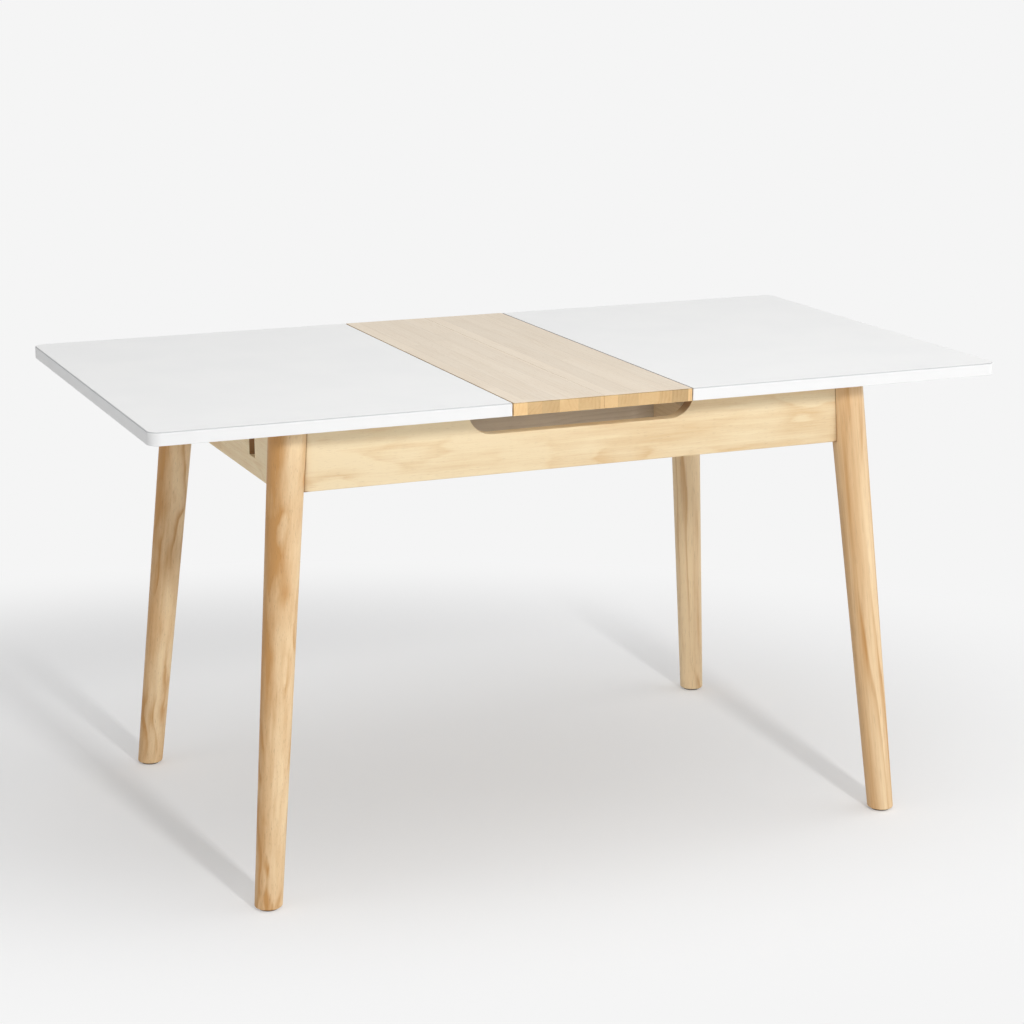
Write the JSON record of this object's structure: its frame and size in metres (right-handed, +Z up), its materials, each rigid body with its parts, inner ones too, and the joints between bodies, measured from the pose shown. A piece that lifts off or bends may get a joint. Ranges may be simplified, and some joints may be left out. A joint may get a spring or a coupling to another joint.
{
  "type": "butterfly leaf table",
  "caption": "Rectangular dining table with splayed round legs, scooped aprons, white sliding top halves and a wooden fold-over centre leaf.",
  "frame": {"origin": "on the floor, under the middle of the extended top", "axes": "+X along the table's length to the right-hand half, +Y to the back, +Z up"},
  "size_m": [1.4, 0.75, 0.75],
  "materials": {
    "white_lacquer": "satin white lacquer on board",
    "leaf_wood": "matt lacquered staves",
    "leg_wood": "satin lacquered",
    "apron_wood": "satin lacquered",
    "inner_wood": "planed",
    "steel": "zinc plated",
    "hinge_brass": "satin",
    "nylon": "natural",
    "glide_plastic": "moulded"
  },
  "bodies": {
    "frame": {"leg_front_left": "leg_wood", "leg_front_right": "leg_wood", "leg_back_left": "leg_wood", "leg_back_right": "leg_wood", "front_apron": "apron_wood", "back_apron": "apron_wood", "left_apron": "apron_wood", "right_apron": "apron_wood", "cross_rail_left": "inner_wood", "cross_rail_right": "inner_wood", "guide_beam_front": "inner_wood", "guide_beam_back": "inner_wood", "guide_bush_front": "nylon", "guide_bush_back": "nylon", "post_catches": "steel", "corner_block_front_left": "inner_wood", "corner_block_front_right": "inner_wood", "corner_block_back_left": "inner_wood", "corner_block_back_right": "inner_wood", "leg_bolts_front_left": "steel", "leg_bolts_front_right": "steel", "leg_bolts_back_left": "steel", "leg_bolts_back_right": "steel", "foot_glides": "glide_plastic", "slip_pads": "nylon"},
    "left_half": {"top_left": "white_lacquer", "runner_left_front": "inner_wood", "runner_left_back": "inner_wood", "spacer_left_front": "inner_wood", "spacer_left_back": "inner_wood", "runner_screws_left": "steel", "runner_stops_left": "inner_wood"},
    "right_half": {"top_right": "white_lacquer", "runner_right_front": "inner_wood", "runner_right_back": "inner_wood", "spacer_right_front": "inner_wood", "spacer_right_back": "inner_wood", "runner_screws_right": "steel", "runner_stops_right": "inner_wood"},
    "leaf_right_half": {"leaf_right": "leaf_wood", "lift_post_front": "steel", "lift_post_back": "steel", "plate_screws": "steel", "hinge_cups_right": "hinge_brass"},
    "leaf_left_half": {"leaf_left": "leaf_wood", "hinge_cups_left": "hinge_brass"}
  },
  "joints": [
    {"name": "left_half_slide", "type": "slide", "parent": "frame", "child": "left_half", "axis": [-1, 0, 0], "range_m": [0, 0.03]},
    {"name": "right_half_slide", "type": "slide", "parent": "frame", "child": "right_half", "axis": [1, 0, 0], "range_m": [0, 0.03]},
    {"name": "leaf_lift", "type": "slide", "parent": "frame", "child": "leaf_right_half", "axis": [0, 0, -1], "range_m": [0, 0.041]},
    {"name": "leaf_fold", "type": "hinge", "parent": "leaf_right_half", "child": "leaf_left_half", "pos_m": [0, 0, 0.7502], "axis": [0, 1, 0], "range_deg": [0, 180]}
  ]
}
